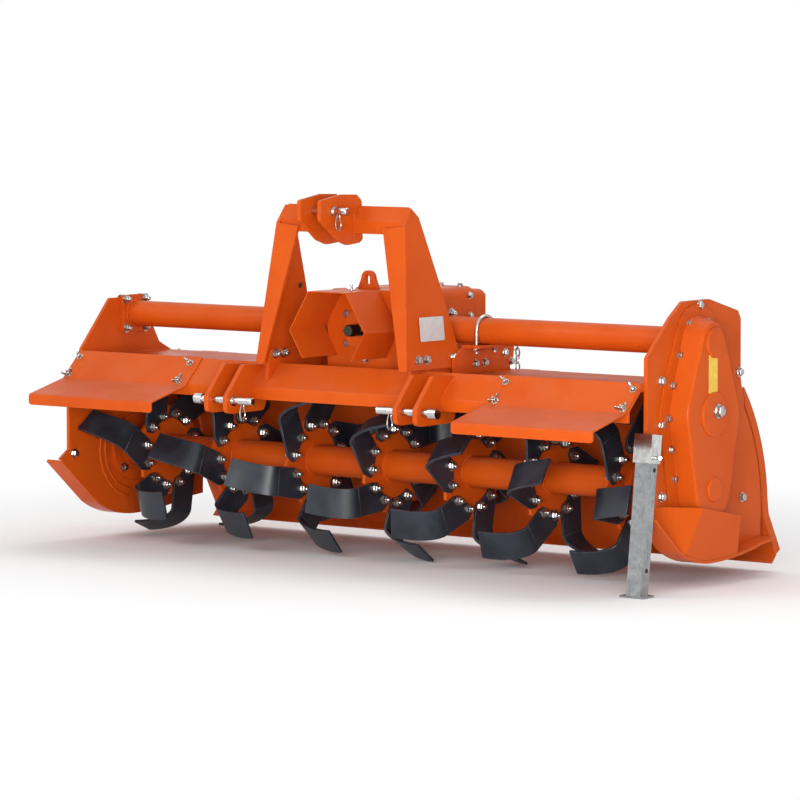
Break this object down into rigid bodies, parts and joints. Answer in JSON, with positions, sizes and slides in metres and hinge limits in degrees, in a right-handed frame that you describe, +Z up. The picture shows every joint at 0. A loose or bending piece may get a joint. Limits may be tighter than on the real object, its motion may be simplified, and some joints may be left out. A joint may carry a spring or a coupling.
{
  "type": "rotary tiller",
  "caption": "Tractor-mounted rotary tiller with a bladed rotor under a deck, side gear drive, hinged rear board and three-point hitch frame.",
  "frame": {"origin": "centre of the bounding box at floor level, under the parked machine", "axes": "+X towards the gear-drive side, +Y to the rear, +Z up"},
  "size_m": [2.2024, 0.8906, 1.0589],
  "materials": {
    "orange_paint": "semi-gloss orange paint",
    "black_paint": "satin black paint",
    "zinc": "zinc plated",
    "bare_steel": "machined steel"
  },
  "bodies": {
    "frame": {"side_plate_left": "orange_paint", "side_plate_right": "orange_paint", "skid_left": "orange_paint", "skid_right": "orange_paint", "deck": "orange_paint", "front_beam": "orange_paint", "hinge_rod": "zinc", "shield_left": "orange_paint", "shield_right": "orange_paint", "cross_tube_left": "orange_paint", "cross_tube_right": "orange_paint", "gearbox": "orange_paint", "gearbox_foot": "orange_paint", "gearbox_cover": "orange_paint", "input_guard": "orange_paint", "lifting_eye": "orange_paint", "lower_ears_left": "orange_paint", "lower_ears_right": "orange_paint", "lower_pin_left": "zinc", "lower_pin_right": "zinc", "mast_leg_left": "orange_paint", "mast_leg_right": "orange_paint", "mast_foot_left": "orange_paint", "mast_foot_right": "orange_paint", "mast_head_bar": "orange_paint", "top_link_ears": "orange_paint", "top_link_pin": "zinc", "tube_support_left": "orange_paint", "tube_support_right": "orange_paint", "tube_u_bolt_left": "zinc", "tube_u_bolt_right": "zinc", "gear_case": "orange_paint", "case_guard": "orange_paint", "bearing_left": "orange_paint", "bearing_cap_left": "orange_paint", "drive_hub": "orange_paint", "stand_sleeve": "zinc", "stand_pin": "zinc"},
    "rotor": {"rotor_shaft": "orange_paint", "blades_left_hand": "black_paint", "blades_right_hand": "black_paint"},
    "input": {"input_shaft": "bare_steel"},
    "board": {"rear_board": "orange_paint"},
    "stand": {"stand_leg": "zinc", "stand_foot": "zinc"}
  },
  "joints": [
    {"name": "rotor_spin", "type": "hinge", "parent": "frame", "child": "rotor", "pos_m": [-0.04822, 0.02065, 0.26793], "axis": [1, 0, 0], "continuous": true},
    {"name": "input_spin", "type": "hinge", "parent": "frame", "child": "input", "pos_m": [-0.01822, -0.21735, 0.66993], "axis": [0, 1, 0], "continuous": true},
    {"name": "rear_board_hinge", "type": "hinge", "parent": "frame", "child": "board", "pos_m": [-0.01822, 0.21065, 0.53893], "axis": [1, 0, 0], "range_deg": [0, 50]},
    {"name": "stand_slide", "type": "slide", "parent": "frame", "child": "stand", "axis": [0, 0.1182, 0.993], "range_m": [0, 0.15]}
  ],
  "couplings": [
    {"joint": "input_spin", "follows": "rotor_spin", "ratio": -2.45}
  ]
}
